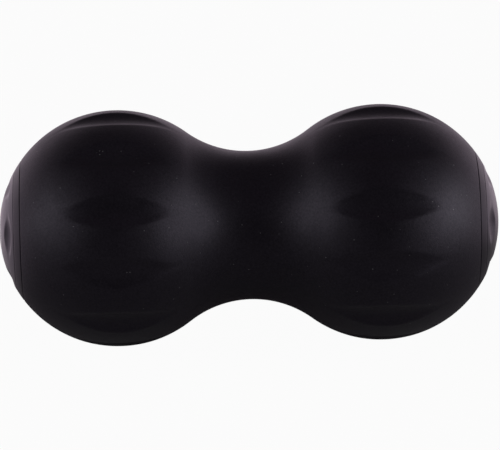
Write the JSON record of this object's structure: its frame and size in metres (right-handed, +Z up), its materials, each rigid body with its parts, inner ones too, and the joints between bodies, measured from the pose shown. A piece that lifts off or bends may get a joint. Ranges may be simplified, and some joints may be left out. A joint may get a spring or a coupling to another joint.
{
  "type": "massage ball",
  "caption": "Battery-powered twin massage ball: round grooved silicone lobes joined by a waist, domed end caps, power button, charging socket and vibration motor.",
  "frame": {"origin": "on the resting surface, under the middle of the waist", "axes": "+X along the line through both lobe centres towards the plain end cap, +Z up, +Y away from the pictured side"},
  "size_m": [0.1856, 0.0872, 0.0871],
  "materials": {
    "silicone": "matte soft-touch silicone with a very fine grain",
    "cap_plastic": "satin black moulded plastic",
    "light_guide": "frosted clear moulding",
    "shell_plastic": "textured dark grey moulding",
    "zinc_steel": "zinc plated",
    "bright_steel": "plated steel",
    "nickel": "nickel strip",
    "bronze": "oil-filled bronze",
    "copper": "copper segments",
    "ferrite": "dull sintered ferrite",
    "core": "varnished laminations and windings",
    "board": "green solder resist",
    "nylon": "natural nylon",
    "black_plastic": "black engineering plastic",
    "mount_rubber": "matte rubber",
    "foam": "closed-cell foam",
    "cell_wrap": "plain blue shrink wrap",
    "led": "small lamp bodies",
    "red_pvc": "red insulation",
    "black_pvc": "black insulation"
  },
  "bodies": {
    "housing": {"silicone_sleeve": "silicone", "end_collar_left": "cap_plastic", "end_collar_right": "cap_plastic", "control_cap": "cap_plastic", "plain_cap": "cap_plastic", "light_guide": "light_guide", "upper_shell": "shell_plastic", "lower_shell": "shell_plastic", "shell_screw_1": "zinc_steel", "shell_screw_2": "zinc_steel", "shell_screw_3": "zinc_steel", "shell_screw_4": "zinc_steel", "shell_screw_5": "zinc_steel", "shell_screw_6": "zinc_steel", "shell_screw_7": "zinc_steel", "shell_screw_8": "zinc_steel", "board_screw_1": "zinc_steel", "board_screw_2": "zinc_steel", "board_screw_3": "zinc_steel", "motor_can": "bright_steel", "charge_socket_shell": "bright_steel", "cell_link_strip": "nickel", "cell_strip_positive": "nickel", "cell_strip_negative": "nickel", "motor_terminal_left": "nickel", "motor_terminal_right": "nickel", "motor_bush_inner": "bronze", "motor_bush_outer": "bronze", "magnet_upper": "ferrite", "magnet_lower": "ferrite", "control_board": "board", "battery_cradle": "nylon", "switch_body": "black_plastic", "charge_socket_tongue": "black_plastic", "motor_end_bell": "black_plastic", "motor_mount_inner": "mount_rubber", "motor_mount_outer": "mount_rubber", "battery_foam_pad": "foam", "battery_cell_front": "cell_wrap", "battery_cell_back": "cell_wrap", "status_led_1": "led", "status_led_2": "led", "status_led_3": "led", "status_led_4": "led", "battery_lead_positive": "red_pvc", "motor_lead_positive": "red_pvc", "battery_lead_negative": "black_pvc", "motor_lead_negative": "black_pvc"},
    "power_key": {"power_button": "cap_plastic"},
    "switch_key": {"switch_plunger": "nylon"},
    "rotor": {"motor_shaft": "bright_steel", "rotor_core": "core", "commutator": "copper", "eccentric_weight_inner": "bright_steel", "eccentric_weight_outer": "bright_steel"}
  },
  "joints": [
    {"name": "button_press", "type": "slide", "parent": "housing", "child": "power_key", "axis": [1, 0, 0], "range_m": [0, 0.0005], "stiffness_N_per_m": 1500},
    {"name": "switch_press", "type": "slide", "parent": "housing", "child": "switch_key", "axis": [1, 0, 0], "range_m": [0, 0.0005]},
    {"name": "rotor_spin", "type": "hinge", "parent": "housing", "child": "rotor", "pos_m": [0.049, 0, 0.04357], "axis": [1, 0, 0], "continuous": true}
  ],
  "couplings": [
    {"joint": "switch_press", "follows": "button_press", "ratio": 1}
  ]
}
